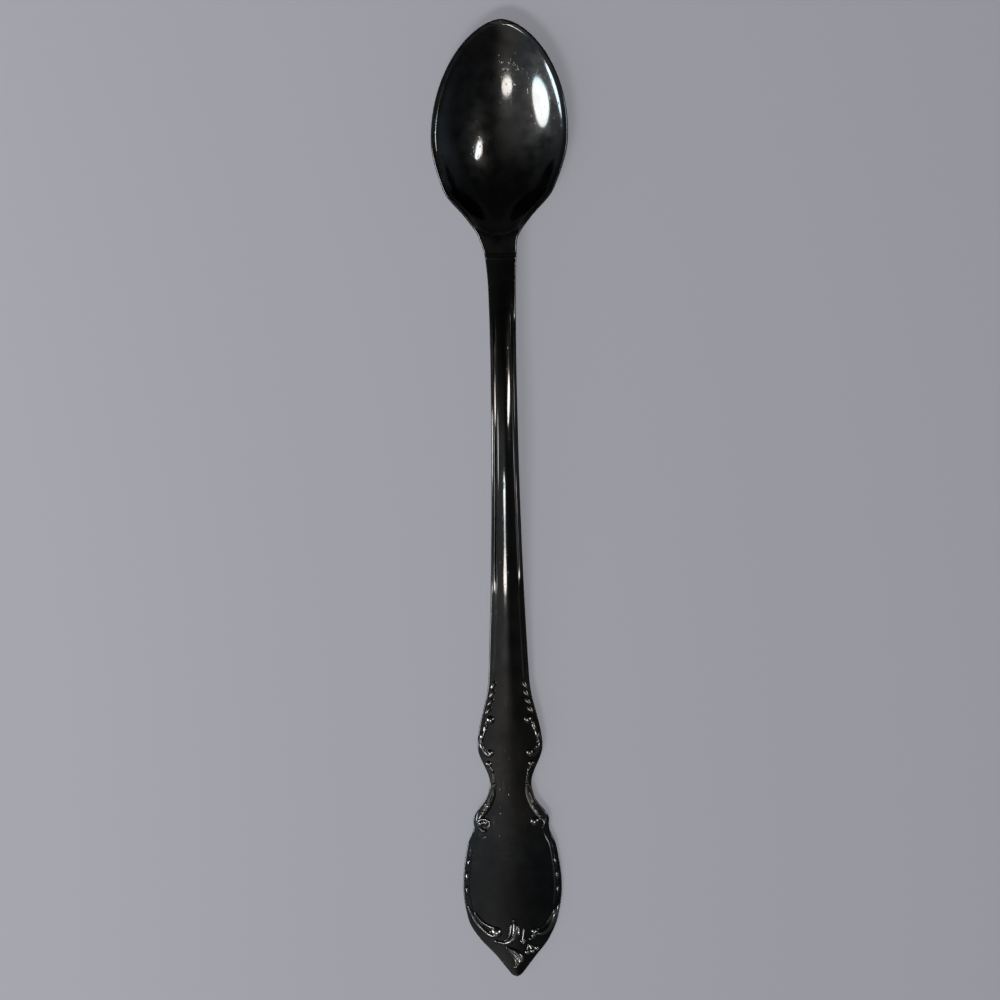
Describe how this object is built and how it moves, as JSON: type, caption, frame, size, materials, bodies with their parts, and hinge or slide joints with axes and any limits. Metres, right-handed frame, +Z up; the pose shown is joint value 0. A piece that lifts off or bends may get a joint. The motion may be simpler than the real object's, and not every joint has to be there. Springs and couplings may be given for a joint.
{
  "type": "baby spoon",
  "caption": "Infant feeding spoon: a small egg-shaped bowl on a long, slender threaded handle that opens into a waisted, pointed panel with raised scroll ornament.",
  "frame": {"origin": "on the table, under the middle of the spoon's length and width, with the spoon lying bowl up", "axes": "+Y along the spoon towards the bowl's tip, +Z up out of the bowl, +X to the right seen from above with the bowl at the top"},
  "size_m": [0.021, 0.146, 0.0098],
  "materials": {
    "bowl_metal": "mirror polish, black-nickel tone",
    "handle_metal": "mirror polish, black-nickel tone",
    "ornament_metal": "polished relief, black-nickel tone"
  },
  "bodies": {
    "root": {"bowl": "bowl_metal", "handle": "handle_metal", "left_husks": "ornament_metal", "left_shoulder_scroll": "ornament_metal", "left_waist_scroll": "ornament_metal", "left_panel_border": "ornament_metal", "left_corner_scroll": "ornament_metal", "right_husks": "ornament_metal", "right_shoulder_scroll": "ornament_metal", "right_waist_scroll": "ornament_metal", "right_panel_border": "ornament_metal", "right_corner_scroll": "ornament_metal", "tip_plume": "ornament_metal", "tip_sprig": "ornament_metal", "tip_leaf": "ornament_metal", "tip_beads": "ornament_metal"}
  },
  "joints": []
}
